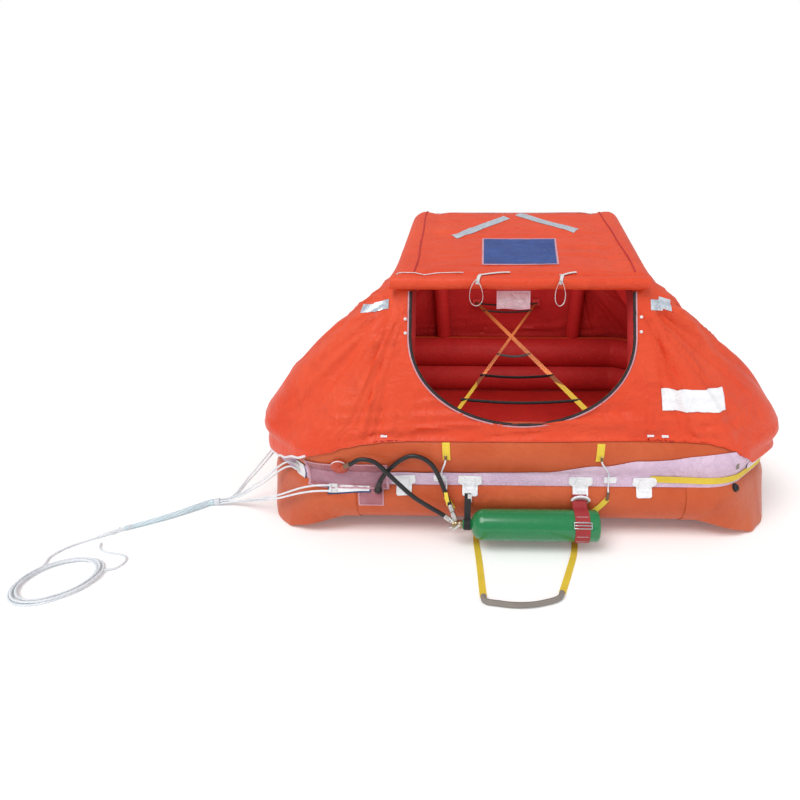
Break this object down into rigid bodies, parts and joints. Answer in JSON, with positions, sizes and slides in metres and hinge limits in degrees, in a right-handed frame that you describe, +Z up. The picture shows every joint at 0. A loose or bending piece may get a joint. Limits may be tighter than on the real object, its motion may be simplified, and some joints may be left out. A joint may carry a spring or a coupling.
{
  "type": "life raft",
  "caption": "Inflatable life raft with stacked tubes, tent canopy and round entrance, gas cylinder and hoses in front, boarding stirrup, bridle and painter.",
  "frame": {"origin": "on the floor that the water pockets stand on, below the middle of the raft with its gas cylinder, free lines left out", "axes": "+X to the right of someone who faces the entrance, +Y from the entrance to the back, +Z up"},
  "size_m": [2.9224, 2.395, 1.265],
  "materials": {
    "tube_fabric": "coated tube cloth, satin",
    "arch_fabric": "coated tube cloth, satin",
    "band_fabric": "coated cloth strip, matt",
    "floor_fabric": "coated floor cloth, satin",
    "canopy_fabric": "thin coated canopy cloth, matt",
    "zip_black": "zip coil",
    "tape_white": "woven tape",
    "pocket_film": "clear film with a pink card in it",
    "webbing_yellow": "woven webbing",
    "patch_white": "coated cloth patch, satin",
    "rope_white": "braided line",
    "cylinder_paint": "gloss paint",
    "valve_brass": "satin",
    "strap_black": "woven strap",
    "strap_red": "woven strap",
    "inlet_red": "coated cloth over a moulded inlet",
    "rubber_black": "smooth",
    "step_grey": "matt"
  },
  "bodies": {
    "root": {"arch_left": "arch_fabric", "arch_right": "arch_fabric", "base_strap": "strap_red", "bridle_lashing": "rope_white", "bridle_line_1": "rope_white", "bridle_line_2": "rope_white", "bridle_line_3": "rope_white", "bridle_line_4": "rope_white", "bridle_line_5": "rope_white", "bridle_line_6": "rope_white", "bridle_patch_corner": "patch_white", "bridle_patch_front": "patch_white", "bridle_patch_side": "patch_white", "canopy_back": "canopy_fabric", "canopy_front": "canopy_fabric", "canopy_left": "canopy_fabric", "canopy_right": "canopy_fabric", "canopy_roof": "canopy_fabric", "card_pocket": "pocket_film", "cylinder_valve": "valve_brass", "door_roll": "canopy_fabric", "door_tie_left": "tape_white", "door_tie_right": "tape_white", "entrance_line_left": "rope_white", "entrance_line_right": "rope_white", "entrance_zip": "zip_black", "floor_panel": "floor_fabric", "gas_cylinder": "cylinder_paint", "hose_lower": "rubber_black", "hose_upper": "rubber_black", "inlet_lower": "rubber_black", "inlet_upper": "inlet_red", "inner_ladder": "webbing_yellow", "lifeline": "webbing_yellow", "line_patch_left": "patch_white", "line_patch_right": "patch_white", "line_tab_left": "webbing_yellow", "line_tab_right": "webbing_yellow", "lower_tube": "tube_fabric", "neck_strap": "strap_black", "painter_bundle": "rope_white", "painter_coil": "rope_white", "painter_knot": "rope_white", "painter_line": "rope_white", "painter_tail": "rope_white", "relief_valve": "rubber_black", "stirrup_left": "webbing_yellow", "stirrup_right": "webbing_yellow", "stirrup_step": "step_grey", "t_patch_base": "patch_white", "t_patch_left": "patch_white", "t_patch_lifeline": "patch_white", "t_patch_neck": "patch_white", "tube_band": "band_fabric", "upper_tube": "tube_fabric", "water_pocket_back_left": "tube_fabric", "water_pocket_back_right": "tube_fabric", "water_pocket_front_left": "tube_fabric", "water_pocket_front_right": "tube_fabric"}
  },
  "joints": []
}
